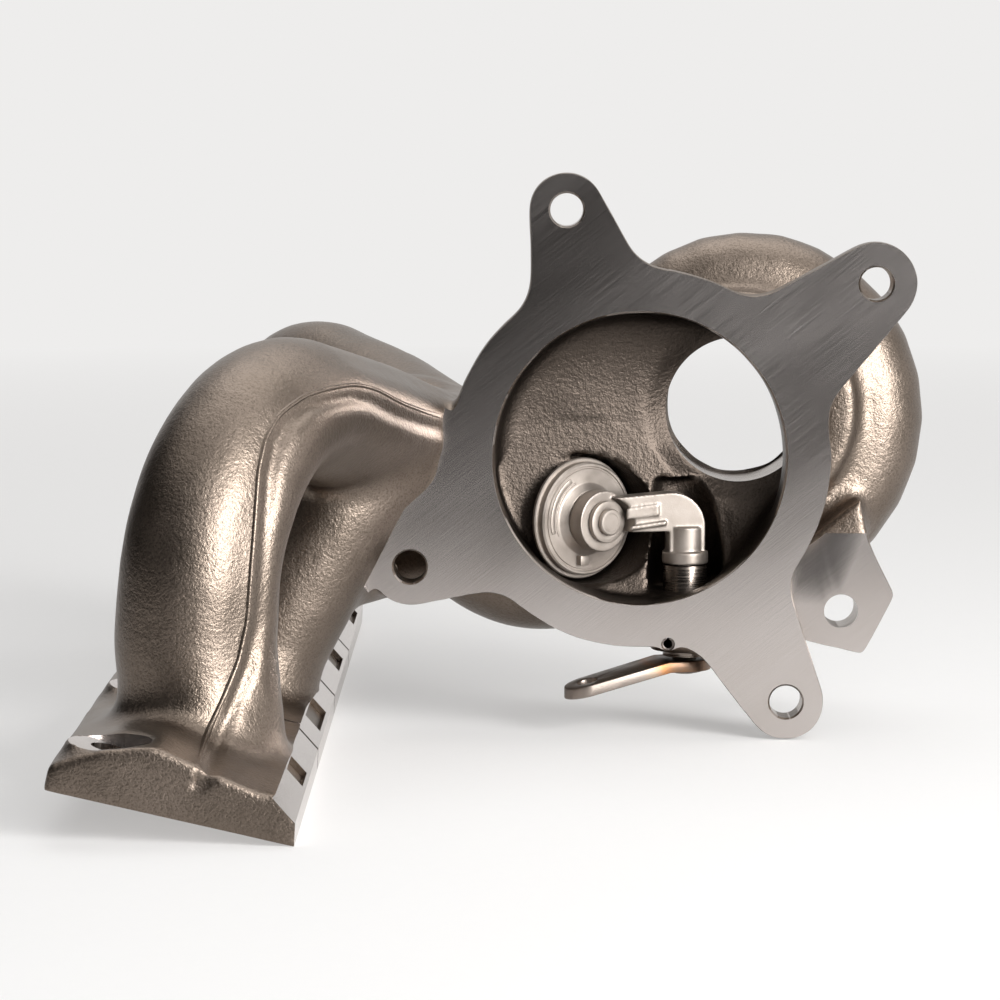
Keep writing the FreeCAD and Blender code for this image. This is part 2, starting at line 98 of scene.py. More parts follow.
# Head flange: places on it are given along its face from the clamp edge and above the face
HEAD_TILT = math.radians(12.9)
HEAD_EDGE_X = -121.1
HEAD_EDGE_Z = -94.3
HEAD_WIDTH = 64.4
HEAD_NEAR_Y = -218.0
HEAD_LENGTH = 380.0
EDGE_PROFILE = ((0.0, 0.0), (1.0, 5.8), (8.0, 10.8))
PORT_PITCH = 88.0
FIRST_PORT_Y = -161.0
STUD_COUNT = 5
STUD_ALONG = 51.5
STUD_RADIUS = 4.5
SPOT_RADIUS = 10.5
SPOT_HEIGHT = 11.5
SLIT_COUNT = 3
SLIT_WIDTH = 2.2
SLIT_REACH = 17.0
SLIT_HEIGHT = 25.0
POCKET_DEPTH = 1.8
POCKET_MARGIN = 1.2
POCKET_STARTS = (-174.8, -93.9, 11.4, 109.8)
POCKET_LENGTHS = (18.5, 31.0, 24.5, 27.0)

# Bracket lug
LUG_HOLE = (30.4, -59.3)
LUG_HOLE_RADIUS = 5.0
LUG_FACE_DEPTH = 50.0
LUG_THICKNESS = 14.0
LUG_REACH = ((12.0, 50.0), (-76.0, -36.0))

# Wastegate: the seat's middle, the way it faces, and the spindle
SEAT = (-47.2, -48.8, -31.6)
SEAT_TURN = math.radians(-52.0)
FLAP_RADIUS = 17.9
FLAP_FACE = 4.02
ARM_EYE_LOW = 6.52
ARM_EYE_HALF = 2.7
ARM_FACE_OUT = 3.2
SPINDLE_X = -16.0
SPINDLE_Y = -52.0
SPINDLE_RADIUS = 3.5
COLLAR_LOW_Z = -44.6
BUSH_RADIUS = 6.4
BUSH_TOP_Z = -45.0
BOSS_TOP_Z = -53.0
BOSS_LENGTH = 17.5
PIN_RADIUS = 2.0
PIN_GAP = 0.1
PIN_Z = -66.2
PIN_HOLE_DEPTH = 21.0
LEVER_TOP_Z = -72.9

# Machining: stock on the faces, how far tools reach past them, and the margin of a filled hole
STOCK = 1.3
BEYOND = 4.0
FACE_CUT = 6.0
FILL_MARGIN = 0.5

# The casting's material slots
CAST, MILLED, TURNED = range(3)

# The studio's pale background
BACKGROUND = "#EEEDEC"

# The photograph's camera, and where lines of the casting show in its frame, in pixels
PICTURE_SIDE = 1000
CAMERA_PLACE = (-64.75, -1076.58, 91.09)
CAMERA_YAW = math.radians(0.325)
CAMERA_PITCH = math.radians(6.52)
CAMERA_LENS = 126.0
SENSOR_WIDTH = 36.0
PARTING_LINE_PX = ((197, 768), (208, 732), (224, 696), (238, 661), (247, 621), (251, 568), (255, 514),
                   (258, 471), (265, 439), (279, 414), (304, 396), (326, 389), (354, 384), (376, 389),
                   (404, 404), (426, 412), (444, 417))


def mm(x, y, z):
    """A place or a step given in millimetres, in Blender's metres."""
    return Vector((x, y, z)) * MM


def head_place(along, above, y):
    """A place on the head flange: along its face from the clamp edge, above the face, and at a depth."""
    x = HEAD_EDGE_X - along * math.cos(HEAD_TILT) + above * math.sin(HEAD_TILT)
    z = HEAD_EDGE_Z + along * math.sin(HEAD_TILT) + above * math.cos(HEAD_TILT)
    return mm(x, y, z)


def seat_place(above, side=0.0, up=0.0):
    """A place by the wastegate seat: above its face, to the side along it, and up."""
    x = SEAT[0] + above * math.cos(SEAT_TURN) - side * math.sin(SEAT_TURN)
    y = SEAT[1] + above * math.sin(SEAT_TURN) + side * math.cos(SEAT_TURN)
    return mm(x, y, SEAT[2] + up)


def linear(code):
    """An sRGB colour code as the linear values that nodes take."""
    parts = [int(code[at:at + 2], 16) / 255 for at in (1, 3, 5)]
    curve = [part / 12.92 if part < 0.04045 else ((part + 0.055) / 1.055) ** 2.4 for part in parts]
    return (*curve, 1.0)


def add_node(tree, kind, settings=None, links=None):
    """Adds a node, gives its properties and inputs their values, and links its other inputs."""
    node = tree.nodes.new(kind)
    for name, value in (settings or {}).items():
        if isinstance(name, int) or name in node.inputs:
            node.inputs[name].default_value = value
        else:
            setattr(node, name, value)
    for name, source in (links or {}).items():
        tree.links.new(source, node.inputs[name])
    return node


class Finish:
    """A material in the making: its node tree, its shader and the place on the object."""

    def __init__(self, name, **shader):
        self.material = bpy.data.materials.new(name)
        self.material.use_nodes = True
        self.tree = self.material.node_tree
        self.tree.nodes.clear()
        self.shader = self.add("ShaderNodeBsdfPrincipled", shader)
        self.output = self.add("ShaderNodeOutputMaterial", links={"Surface": self.shader.outputs["BSDF"]})
        self.place = self.add("ShaderNodeTexCoord").outputs["Object"]

    def add(self, kind, settings=None, links=None):
        return add_node(self.tree, kind, settings, links)

    def noise(self, size, detail=2.0, roughness=0.5, place=None):
        """Random patches of about the given size in millimetres, from 0 to 1."""
        settings = {"Scale": 1 / (size * MM), "Detail": detail, "Roughness": roughness}
        node = self.add("ShaderNodeTexNoise", settings, {"Vector": place or self.place})
        return node.outputs["Fac"]

    def cells(self, size):
        """Round dimples of about the given size in millimetres."""
        settings = {"Scale": 1 / (size * MM), "feature": "SMOOTH_F1", "Smoothness": 0.6}
        return self.add("ShaderNodeTexVoronoi", settings, {"Vector": self.place}).outputs["Distance"]

    def stretched(self, turn, squeeze):
        """The place on the object, turned and squeezed, so that noise on it becomes lines."""
        turned = self.add("ShaderNodeMapping", {"Rotation": turn}, {"Vector": self.place})
        node = self.add("ShaderNodeMapping", {"Scale": squeeze}, {"Vector": turned.outputs["Vector"]})
        return node.outputs["Vector"]

    def spread(self, value, low, high, start=0.3, end=0.7):
        """A value from start to end turned into one from low to high."""
        settings = {"From Min": start, "From Max": end, "To Min": low, "To Max": high}
        return self.add("ShaderNodeMapRange", settings, {"Value": value}).outputs["Result"]

    def mix(self, share, first, second):
        """Two colour codes or colour outputs mixed by a share."""
        settings = {"data_type": "RGBA"}
        links = {0: share}
        for index, colour in ((6, first), (7, second)):
            if isinstance(colour, str):
                settings[index] = linear(colour)
            else:
                links[index] = colour
        return self.add("ShaderNodeMix", settings, links).outputs[2]

    def sum(self, first, second, share=1.0):
        """The first value plus a share of the second."""
        node = self.add("ShaderNodeMath", {"operation": "MULTIPLY_ADD", 1: share}, {0: second, 2: first})
        return node.outputs["Value"]

    def set(self, name, source):
        """Links one of the shader's inputs."""
        self.tree.links.new(source, self.shader.inputs[name])

    def relief(self, height, depth, strength=1.0, under=None):
        """Turns a height from 0 to 1 into relief of the given depth in millimetres."""
        links = {"Height": height}
        if under:
            links["Normal"] = under
        node = self.add("ShaderNodeBump", {"Strength": strength, "Distance": depth * MM}, links)
        return node.outputs["Normal"]


def cast_steel(settings):
    """Sand-cast heat-resistant steel, satin with a sand grain, with painted shade darkening it inside the
    outlet chamber.
    """
    finish = Finish("sand_cast_steel", Metallic=1.0)
    grain = finish.noise(0.55, detail=2.0, roughness=0.55)
    peening = finish.cells(1.3)
    patches = finish.noise(24.0, detail=3.0)
    tone = finish.mix(finish.spread(patches, 0.0, 1.0), "#6E6359", "#7E7268")
    pits = finish.spread(grain, 0.0, 1.0, 0.34, 0.52)
    skin = finish.mix(pits, "#645A51", tone)
    # Painted shade: within the outlet's radius, over the first 6 mm behind the outlet face, the skin is mixed
    # towards #2B2623 by the chamber shade setting
    centred = finish.add("ShaderNodeMapping", {"Location": tuple(-mm(OUTLET_X, -OUTLET_DEPTH, OUTLET_Z))},
                         {"Vector": finish.place})
    flat = finish.add("ShaderNodeVectorMath", {"operation": "MULTIPLY", 1: (1, 0, 1)},
                      {0: centred.outputs["Vector"]})
    reach = finish.add("ShaderNodeVectorMath", {"operation": "LENGTH"}, {0: flat.outputs["Vector"]})
    depth = finish.add("ShaderNodeSeparateXYZ", links={0: centred.outputs["Vector"]}).outputs["Y"]
    inside = finish.add("ShaderNodeMath", {"operation": "MULTIPLY"},
                        {0: finish.spread(reach.outputs["Value"], 1.0, 0.0, (OUTLET_RADIUS + 0.9) * MM,
                                          (OUTLET_RADIUS + 1.9) * MM),
                         1: finish.spread(depth, 0.0, settings.painted_chamber_shade, 0.0, 6 * MM)})
    finish.set("Base Color", finish.mix(inside.outputs["Value"], skin, "#2B2623"))
    finish.set("Roughness", finish.spread(finish.sum(patches, grain, 0.4), 0.30, 0.42, 0.35, 0.9))
    coarse = finish.relief(finish.sum(peening, finish.noise(2.6), 0.8), 0.13, 0.6)
    finish.set("Normal", finish.relief(grain, 0.13, 1.0, coarse))
    return finish.material


def milled_steel():
    """Faces milled flat: fine cutter lines across a bright, slightly pink steel."""
    finish = Finish("milled_steel", Metallic=1.0)
    lines = finish.noise(1.0, detail=2.0, place=finish.stretched((0, math.radians(38), 0), (0.05, 1.0, 2.2)))
    sweep = finish.noise(30.0, place=finish.stretched((0, math.radians(38), 0), (0.3, 1.0, 1.0)))
    finish.set("Base Color", finish.mix(finish.spread(sweep, 0.0, 1.0), "#BFB7B2", "#CBC4C0"))
    finish.set("Roughness", finish.spread(finish.sum(sweep, lines, 0.6), 0.18, 0.28, 0.5, 1.1))
    finish.set("Normal", finish.relief(lines, 0.02, 0.35))
    return finish.material


def lined_steel(name, size, squeeze, tones, roughness, patch, depth, strength):
    """Steel with fine tool lines or rings of a size, drawn out where the squeeze is small."""
    finish = Finish(name, Metallic=1.0)
    lines = finish.noise(size, detail=1.0, place=finish.stretched((0, 0, 0), squeeze))
    finish.set("Base Color", finish.mix(finish.noise(patch), *tones))
    finish.set("Roughness", finish.spread(lines, *roughness))
    finish.set("Normal", finish.relief(lines, depth, strength))
    return finish.material


def turned_steel():
    """Bores and rims turned on a lathe: fine rings about the turbine axis."""
    return lined_steel("turned_steel", 0.6, (0.05, 1.0, 0.05), ("#8F867F", "#B1A8A1"), (0.22, 0.38), 12.0,
                       0.03, 0.5)


def blasted_steel():
    """Investment-cast steel, bead-blasted: pale, even and matt, for the flap and its arm."""
    finish = Finish("bead_blasted_steel", Metallic=0.85)
    grain = finish.noise(0.35, detail=2.0)
    clouds = finish.noise(7.0, detail=3.0)
    finish.set("Base Color", finish.mix(finish.spread(clouds, 0.0, 1.0), "#8C837B", "#A39A92"))
    finish.set("Roughness", finish.spread(clouds, 0.40, 0.52))
    finish.set("Normal", finish.relief(grain, 0.05, 0.6))
    return finish.material


def bush_steel():
    """Turned and oiled bush steel: dark, with fine rings round the spindle."""
    return lined_steel("turned_bush_steel", 0.5, (0.05, 0.05, 1.0), ("#6E655E", "#8C837B"), (0.2, 0.36), 5.0,
                       0.02, 0.5)


def spring_steel():
    """Rolled spring steel of the roll pin and the dowel: dark and smooth, with drawn lines."""
    return lined_steel("drawn_spring_steel", 0.4, (1.0, 0.04, 1.0), ("#6A625E", "#8E8681"), (0.24, 0.4), 2.0,
                       0.02, 0.4)


def lever_steel():
    """Pressed plate of the lever: dull grey, with straw and blue heat tint round the weld."""
    finish = Finish("pressed_plate_steel", Metallic=1.0)
    spindle = tuple(-mm(SPINDLE_X, SPINDLE_Y, LEVER_TOP_Z))
    centred = finish.add("ShaderNodeMapping", {"Location": spindle}, {"Vector": finish.place})
    distance = finish.add("ShaderNodeVectorMath", {"operation": "LENGTH"}, {0: centred.outputs["Vector"]})
    ragged = finish.sum(distance.outputs["Value"], finish.noise(3.0), 0.004)
    heat = finish.spread(ragged, 0.0, 1.0, 0.009, 0.019)
    tint = finish.add("ShaderNodeValToRGB", links={"Fac": heat})
    bands = ((0.0, "#6F6258"), (0.3, "#8C6A50"), (0.5, "#A9764E"), (0.72, "#9A8A7A"), (1.0, "#8F857D"))
    for place, colour in bands[1:-1]:
        tint.color_ramp.elements.new(place).color = linear(colour)
    tint.color_ramp.elements[0].color = linear(bands[0][1])
    tint.color_ramp.elements[-1].color = linear(bands[-1][1])
    finish.set("Base Color", tint.outputs["Color"])
    grain = finish.noise(0.5, detail=3.0)
    finish.set("Roughness", finish.spread(finish.noise(6.0), 0.32, 0.48))
    finish.set("Normal", finish.relief(grain, 0.04, 0.5))
    return finish.material


def weld_steel():
    """Weld metal: ripples laid round the spindle, dark with a blue brown skin."""
    finish = Finish("weld_bead_steel", Metallic=1.0)
    ripples = finish.noise(1.1, detail=1.0)
    finish.set("Base Color", finish.mix(ripples, "#574D4A", "#7F6C5E"))
    finish.set("Roughness", finish.spread(ripples, 0.3, 0.5))
    finish.set("Normal", finish.relief(ripples, 0.2, 0.8))
    return finish.material


def link(name, mesh, body):
    """A new object for a mesh, riding on a body of the frame."""
    piece = bpy.data.objects.new(name, mesh)
    bpy.context.scene.collection.objects.link(piece)
    if body:
        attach(piece, body)
    return piece


def to_mesh(name, form):
    """Closes a bmesh form into a mesh with its faces turned outwards."""
    bmesh.ops.recalc_face_normals(form, faces=form.faces)
    mesh = bpy.data.meshes.new(name)
    form.to_mesh(mesh)
    form.free()
    return mesh


def add_prism(form, corners, depth, slot=0):
    """A closed prism: a flat outline carried along a vector."""
    near = [form.verts.new(corner) for corner in corners]
    far = [form.verts.new(corner + depth) for corner in corners]
    faces = [form.faces.new(near), form.faces.new(far[::-1])]
    for index in range(len(corners)):
        after = (index + 1) % len(corners)
        faces.append(form.faces.new((near[index], far[index], far[after], near[after])))
    for face in faces:
        face.material_index = slot


def add_cone(form, start, end, start_radius, end_radius, slot=0, sides=64):
    """A closed cylinder or cone between two places."""
    axis = end - start
    turn = axis.to_track_quat("Z", "Y").to_matrix().to_4x4()
    before = len(form.faces)
    bmesh.ops.create_cone(form, cap_ends=True, segments=sides, radius1=start_radius * MM,
                          radius2=end_radius * MM, depth=axis.length,
                          matrix=Matrix.Translation((start + end) / 2) @ turn)
    form.faces.ensure_lookup_table()
    for face in form.faces[before:]:
        face.material_index = slot


def add_cylinder(form, start, end, radius, slot=0, sides=64):
    add_cone(form, start, end, radius, radius, slot, sides)


def add_bore(form, x, z, start, end, radius, slot=0, sides=64):
    """A cylinder that runs front to back, from one depth to another."""
    add_cylinder(form, mm(x, start, z), mm(x, end, z), radius, slot, sides)


def add_head_prism(form, outline, start, length, slot=0):
    """A prism along the head flange, from an outline given along and above its face."""
    add_prism(form, [head_place(along, above, start) for along, above in outline], mm(0, length, 0), slot)


def add_stud_cylinder(form, index, low, high, radius, slot=0):
    """A cylinder about a stud of the head flange, between two heights above its face."""
    y = FIRST_PORT_Y + (index - 0.5) * PORT_PITCH
    add_cylinder(form, head_place(STUD_ALONG, low, y), head_place(STUD_ALONG, high, y), radius, slot)


def join_rings(form, rings):
    """Faces between closed rings of corners, each ring joined to the one after it."""
    for ring, after in itertools.pairwise(rings):
        for index in range(len(ring)):
            following = (index + 1) % len(ring)
            form.faces.new((ring[index], ring[following], after[following], after[index]))


def join_and_cap(form, rings):
    """Joins rings of corners and closes both ends."""
    join_rings(form, rings)
    form.faces.new(rings[0])
    form.faces.new(rings[-1][::-1])


def node_form(name):
    """A copy of a frame node's mesh as a closed form, with its doubled points joined."""
    form = bmesh.new()
    form.from_mesh(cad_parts[name].data)
    bmesh.ops.remove_doubles(form, verts=form.verts, dist=0.002 * MM)
    return form


def bake(piece):
    """Replaces a piece's mesh by what its modifiers make of it."""
    graph = bpy.context.evaluated_depsgraph_get()
    mesh = bpy.data.meshes.new_from_object(piece.evaluated_get(graph), depsgraph=graph)
    piece.modifiers.clear()
    piece.data = mesh


def remesh(piece, size):
    """Makes a piece's forms one skin on an even grid."""
    change = piece.modifiers.new("skin", "REMESH")
    change.mode = "VOXEL"
    change.voxel_size = size
    bake(piece)


def read_vectors(items, name):
    """A property of every item, as one row of three numbers each."""
    values = np.empty(len(items) * 3)
    items.foreach_get(name, values)
    return values.reshape(-1, 3)


def read_points(mesh):
    return read_vectors(mesh.vertices, "co")


def read_normals(mesh):
    return read_vectors(mesh.vertex_normals, "vector")


def write_points(mesh, points):
    mesh.vertices.foreach_set("co", points.ravel())
    mesh.update()


def soften(mesh, rounds, hollow, crest, share=None):
    """Fillets a mesh: each round moves hollows outwards and crests inwards by their own share."""
    points = read_points(mesh)
    edges = np.empty(len(mesh.edges) * 2, dtype=np.int64)
    mesh.edges.foreach_get("vertices", edges)
    first, second = edges.reshape(-1, 2).T
    count = len(points)
    near = (np.bincount(first, minlength=count) + np.bincount(second, minlength=count))[:, None]
    share = np.ones(count) if share is None else share
    for step in range(rounds):
        if step % 15 == 0:
            write_points(mesh, points)
            normals = read_normals(mesh)
        total = np.stack([np.bincount(first, points[second, axis], count)
                          + np.bincount(second, points[first, axis], count) for axis in range(3)], axis=1)
        move = total / near - points
        outward = (move * normals).sum(axis=1)
        points += move * (np.where(outward > 0, hollow, crest) * share)[:, None]
    write_points(mesh, points)


def lumps(points, size, seed):
    """Smooth random heights from about -1 to 1 that change over a size in millimetres."""
    table = np.random.default_rng(seed).uniform(-1, 1, (64, 64, 64))
    place = points / (size * MM)
    cell = np.floor(place).astype(int)
    part = place - cell
    part = part * part * (3 - 2 * part)
    height = np.zeros(len(points))
    for corner in itertools.product((0, 1), repeat=3):
        picked = table[tuple(((cell + np.array(corner)) % 64).T)]
        height += picked * np.prod(np.where(corner, part, 1 - part), axis=1)
    return height


def camera_turn():
    """The camera's turn: its own X, Y and Z axes as the columns."""
    return Matrix.Rotation(CAMERA_YAW, 3, "Z") @ Matrix.Rotation(math.pi / 2 - CAMERA_PITCH, 3, "X")


def focal_px():
    return CAMERA_LENS / SENSOR_WIDTH * PICTURE_SIDE


def in_picture(points):
    """Where points show in the photograph's frame, in pixels from its top left corner."""
    local = (points - np.array(CAMERA_PLACE) * MM) @ np.array(camera_turn())
    across = PICTURE_SIDE / 2 - focal_px() * local[:, 0] / local[:, 2]
    down = PICTURE_SIDE / 2 + focal_px() * local[:, 1] / local[:, 2]
    return np.stack((across, down), axis=1)


def line_distance(places, line):
    """How far places lie from a line of pixels, negative on the left of its way up."""
    best = np.full(len(places), 1e9)
    for start, end in itertools.pairwise(np.array(line, dtype=float)):
        span = end - start
        share = np.clip(((places - start) @ span) / (span @ span), 0, 1)
        away = places - start - share[:, None] * span
        side = np.sign(span[0] * away[:, 1] - span[1] * away[:, 0])
        distance = np.hypot(away[:, 0], away[:, 1]) * side
        best = np.where(np.abs(distance) < np.abs(best), distance, best)
    return best


def add_stock(form):
    """Moves the faces that get machined outwards by the stock that the foundry leaves on them."""
    head_down = head_place(0, 0, 0) - head_place(0, STOCK, 0)
    for vert in form.verts:
        place = vert.co / MM
        above = (vert.co - head_place(0, 0, place.y)).dot(-head_down.normalized()) / MM
        if abs(place.y + OUTLET_DEPTH) < 0.01:
            vert.co.y -= STOCK * MM
        elif place.y > -0.01 and math.hypot(place.x, place.z) < JOINT_REACH:
            vert.co.y += STOCK * MM
        elif abs(place.y + LUG_FACE_DEPTH) < 0.01 and LUG_REACH[0][0] < place.x and place.z < LUG_REACH[1][1]:
            vert.co.y -= STOCK * MM
        elif abs(above) < 0.02 and place.x < HEAD_EDGE_X + 0.1:
            vert.co += head_down


def fill_holes(form):
    """Fills the bores, slits and edges that the machining cuts, a margin past each."""
    for x, z in EAR_HOLES:
        add_bore(form, OUTLET_X + x, OUTLET_Z + z, -OUTLET_DEPTH - STOCK, OUTLET_FLANGE - OUTLET_DEPTH,
                 OUTLET_HOLE_RADIUS + FILL_MARGIN)
    add_bore(form, pin_x(), PIN_Z, -OUTLET_DEPTH - STOCK, PIN_HOLE_DEPTH - OUTLET_DEPTH,
             PIN_RADIUS + FILL_MARGIN)
    add_cylinder(form, mm(SPINDLE_X, SPINDLE_Y, BOSS_TOP_Z + FILL_MARGIN),
                 mm(SPINDLE_X, SPINDLE_Y, BOSS_TOP_Z - BOSS_LENGTH), BUSH_RADIUS + FILL_MARGIN)
    add_bore(form, *LUG_HOLE, -LUG_FACE_DEPTH - STOCK, LUG_THICKNESS - LUG_FACE_DEPTH,
             LUG_HOLE_RADIUS + FILL_MARGIN)
    add_bore(form, 0, 0, -LIP_DEPTH + LIP_LENGTH, -THROAT_DEPTH, EXDUCER_RADIUS + FILL_MARGIN)
    for index in range(STUD_COUNT):
        add_stud_cylinder(form, index, -STOCK, SPOT_HEIGHT + 0.6, SPOT_RADIUS + FILL_MARGIN)
    slit = ((0, -STOCK), (SLIT_REACH + 1, -STOCK), (SLIT_REACH + 1, 12.6), EDGE_PROFILE[2])
    for index in range(SLIT_COUNT):
        add_head_prism(form, slit, slit_y(index) - SLIT_WIDTH, SLIT_WIDTH * 2)
    edge = ((-STOCK, -STOCK), (9.5, -STOCK), (9.5, 11.1), (7.2, 12.2), (-STOCK, 7.2))
    add_head_prism(form, edge, HEAD_NEAR_Y, HEAD_LENGTH)


def foundry_form(settings):
    """The casting before machining: the CAD form with stock on its faces and its holes filled."""
    form = node_form("turbine_housing")
    add_stock(form)
    fill_holes(form)
    piece = link("casting", to_mesh("casting", form), None)
    remesh(piece, settings.grid)
    return piece


def pin_x():
    return SPINDLE_X - SPINDLE_RADIUS - PIN_GAP - PIN_RADIUS


def slit_y(index):
    return FIRST_PORT_Y + (index + 0.5) * PORT_PITCH


def edge_slope():
    """The slope of the bevel along the clamp edge."""
    (start, low), (end, high) = EDGE_PROFILE[1:]
    return math.atan2(high - low, end - start)


def near_wastegate(points):
    """Which points lie by the wastegate in the chamber, where the small forms stay as they are."""
    spindle = np.hypot(points[:, 0] - SPINDLE_X * MM, points[:, 1] - SPINDLE_Y * MM)
    by_arm = (spindle < 14 * MM) & (points[:, 2] > -56 * MM) & (points[:, 2] < -12 * MM)
    by_flap = np.linalg.norm(points - np.array(SEAT) * MM, axis=1) < 30 * MM
    inside = np.hypot(points[:, 0] - OUTLET_X * MM, points[:, 2] - OUTLET_Z * MM) < 46 * MM
    return (by_arm | by_flap) & inside


def shape_skin(piece, settings):
    """Fillets the casting's hollows, adds its lumps and sinks the band beside the parting line."""
    mesh = piece.data
    fine = near_wastegate(read_points(mesh))
    soften(mesh, settings.fillet_rounds, 0.9, 0.10, np.where(fine, 0.06, 1.0))
    points = read_points(mesh)
    normals = read_normals(mesh)
    height = settings.lump_height * (lumps(points, 16.0, 3) + 0.35 * lumps(points, 5.0, 8))
    facing = (normals[:, 1] < 0.25) & (points[:, 1] < -70 * MM) & (points[:, 2] > -82 * MM)
    away = line_distance(in_picture(points), PARTING_LINE_PX)
    beside = np.exp(-((away - 13) / 8.0) ** 2)
    height = height - np.where(facing, settings.band_depth * beside, 0.0)
    points[~fine] += (normals * height[:, None])[~fine]
    write_points(mesh, points)


def outlet_outline(margin, step=1.5):
    """The outer edge of the outlet face as the CAD has it, in even steps, widened by a margin."""
    form = node_form("turbine_housing")
    flat = {face for face in form.faces
            if all(abs(vert.co.y + OUTLET_DEPTH * MM) < 0.01 * MM for vert in face.verts)}
    after = {}
    for face in flat:
        for loop in face.loops:
            if not any(other.face in flat for other in loop.edge.link_loops if other.face is not face):
                after[loop.vert] = loop.link_loop_next.vert
    best = []
    while after:
        ring = [next(iter(after))]
        while ring[-1] in after:
            ring.append(after.pop(ring[-1]))
        best = max(best, ring[:-1], key=len)
    ring = np.array([(vert.co.x, vert.co.z) for vert in best + best[:1]]) / MM
    form.free()
    reach = np.concatenate(([0], np.cumsum(np.linalg.norm(np.diff(ring, axis=0), axis=1))))
    even = np.arange(0, reach[-1] - step / 2, step)
    corners = np.stack([np.interp(even, reach, ring[:, axis]) for axis in (0, 1)], axis=1)
    for _ in range(3):
        corners = (np.roll(corners, 1, axis=0) + 2 * corners + np.roll(corners, -1, axis=0)) / 4
    along = np.roll(corners, -1, axis=0) - np.roll(corners, 1, axis=0)
    out = np.stack((along[:, 1], -along[:, 0]), axis=1) / np.linalg.norm(along, axis=1)[:, None]
    turning = np.sum(corners[:, 0] * np.roll(corners[:, 1], -1) - corners[:, 1] * np.roll(corners[:, 0], -1))
    corners += out * margin * np.sign(turning)
    return [mm(x, -OUTLET_DEPTH, z) for x, z in corners]


def outlet_face_tool():
    form = bmesh.new()
    add_prism(form, outlet_outline(3.0), mm(0, -FACE_CUT, 0), MILLED)
    return form


def joint_face_tool():
    form = bmesh.new()
    add_bore(form, 0, 0, 0, FACE_CUT, JOINT_REACH, TURNED)
    return form


def bore_tools():
    """Drills and reamers for every round hole but the head flange's."""
    form = bmesh.new()
    for x, z in EAR_HOLES:
        add_bore(form, OUTLET_X + x, OUTLET_Z + z, -OUTLET_DEPTH - BEYOND,
                 OUTLET_FLANGE + BEYOND - OUTLET_DEPTH, OUTLET_HOLE_RADIUS, TURNED)
    add_bore(form, pin_x(), PIN_Z, -OUTLET_DEPTH - BEYOND, PIN_HOLE_DEPTH - OUTLET_DEPTH, PIN_RADIUS,
             TURNED, 32)
    add_bore(form, *LUG_HOLE, -LUG_FACE_DEPTH - BEYOND, LUG_THICKNESS + BEYOND - LUG_FACE_DEPTH,
             LUG_HOLE_RADIUS, TURNED)
    add_cylinder(form, mm(SPINDLE_X, SPINDLE_Y, BUSH_TOP_Z),
                 mm(SPINDLE_X, SPINDLE_Y, BOSS_TOP_Z - BOSS_LENGTH - BEYOND), BUSH_RADIUS, TURNED)
    add_bore(form, 0, 0, -LIP_DEPTH - 1, -THROAT_DEPTH + 1, EXDUCER_RADIUS, TURNED, 128)
    add_bore(form, 0, 0, -SPIGOT_DEPTH, BEYOND, SPIGOT_RADIUS, TURNED, 128)
    angle = math.radians(DOWEL_ANGLE)
    add_bore(form, DOWEL_CIRCLE * math.cos(angle), DOWEL_CIRCLE * math.sin(angle), -DOWEL_HOLE_DEPTH, BEYOND,
             DOWEL_RADIUS, TURNED, 32)
    return form


def edge_break_tools():
    """Countersinks that break the front edges of the outlet opening and the ears' holes."""
    form = bmesh.new()
    rims = [(x, z, OUTLET_HOLE_RADIUS, 64) for x, z in EAR_HOLES] + [(0, 0, OUTLET_RADIUS, 192)]
    for x, z, radius, sides in rims:
        add_cone(form, mm(OUTLET_X + x, -OUTLET_DEPTH - 1, OUTLET_Z + z),
                 mm(OUTLET_X + x, -OUTLET_DEPTH + EDGE_BREAK, OUTLET_Z + z), radius + EDGE_BREAK + 1, radius,
                 TURNED, sides)
    return form


def lug_face_tool():
    form = bmesh.new()
    (left, right), (low, high) = LUG_REACH
    outline = [mm(x, -LUG_FACE_DEPTH, z) for x, z in ((left, low), (right, low), (right, high), (left, high))]
    add_prism(form, outline, mm(0, -5, 0), MILLED)
    return form


def head_edge_tool():
    """The form cutter of the head flange's face, clamp edge and bevel."""
    form = bmesh.new()
    slope = edge_slope()
    end, high = EDGE_PROFILE[2]
    top = (end - BEYOND * math.sin(slope), high + BEYOND * math.cos(slope))
    outline = ((-FACE_CUT, -FACE_CUT), (HEAD_WIDTH + FACE_CUT, -FACE_CUT), (HEAD_WIDTH + FACE_CUT, 0),
               *EDGE_PROFILE, top, (-FACE_CUT, top[1]))
    add_head_prism(form, outline, HEAD_NEAR_Y - 3, HEAD_LENGTH + 6, MILLED)
    return form


def slit_tools():
    """Saws for the head flange's slits and the cutters of its spot faces."""
    form = bmesh.new()
    outline = ((-3, -3), (SLIT_REACH, -3), (SLIT_REACH, SLIT_HEIGHT), (-3, SLIT_HEIGHT))
    for index in range(SLIT_COUNT):
        add_head_prism(form, outline, slit_y(index) - SLIT_WIDTH / 2, SLIT_WIDTH, MILLED)
    for index in range(STUD_COUNT):
        add_stud_cylinder(form, index, SPOT_HEIGHT, SLIT_HEIGHT + 1, SPOT_RADIUS, MILLED)
    return form


def pocket_tools():
    """The pockets in the bevel, and the drills of the stud holes."""
    form = bmesh.new()
    slope = edge_slope()
    start, low = EDGE_PROFILE[1]
    run = (EDGE_PROFILE[2][0] - start) / math.cos(slope) - POCKET_MARGIN
    outline = [(start + distance * math.cos(slope) - above * math.sin(slope),
                low + distance * math.sin(slope) + above * math.cos(slope))
               for distance, above in ((POCKET_MARGIN, 3), (run, 3), (run, -POCKET_DEPTH),
                                       (POCKET_MARGIN, -POCKET_DEPTH))]
    for y, length in zip(POCKET_STARTS, POCKET_LENGTHS):
        add_head_prism(form, outline, y, length, CAST)
    for index in range(STUD_COUNT):
        add_stud_cylinder(form, index, -3, SPOT_HEIGHT + 1, STUD_RADIUS, TURNED)
    return form


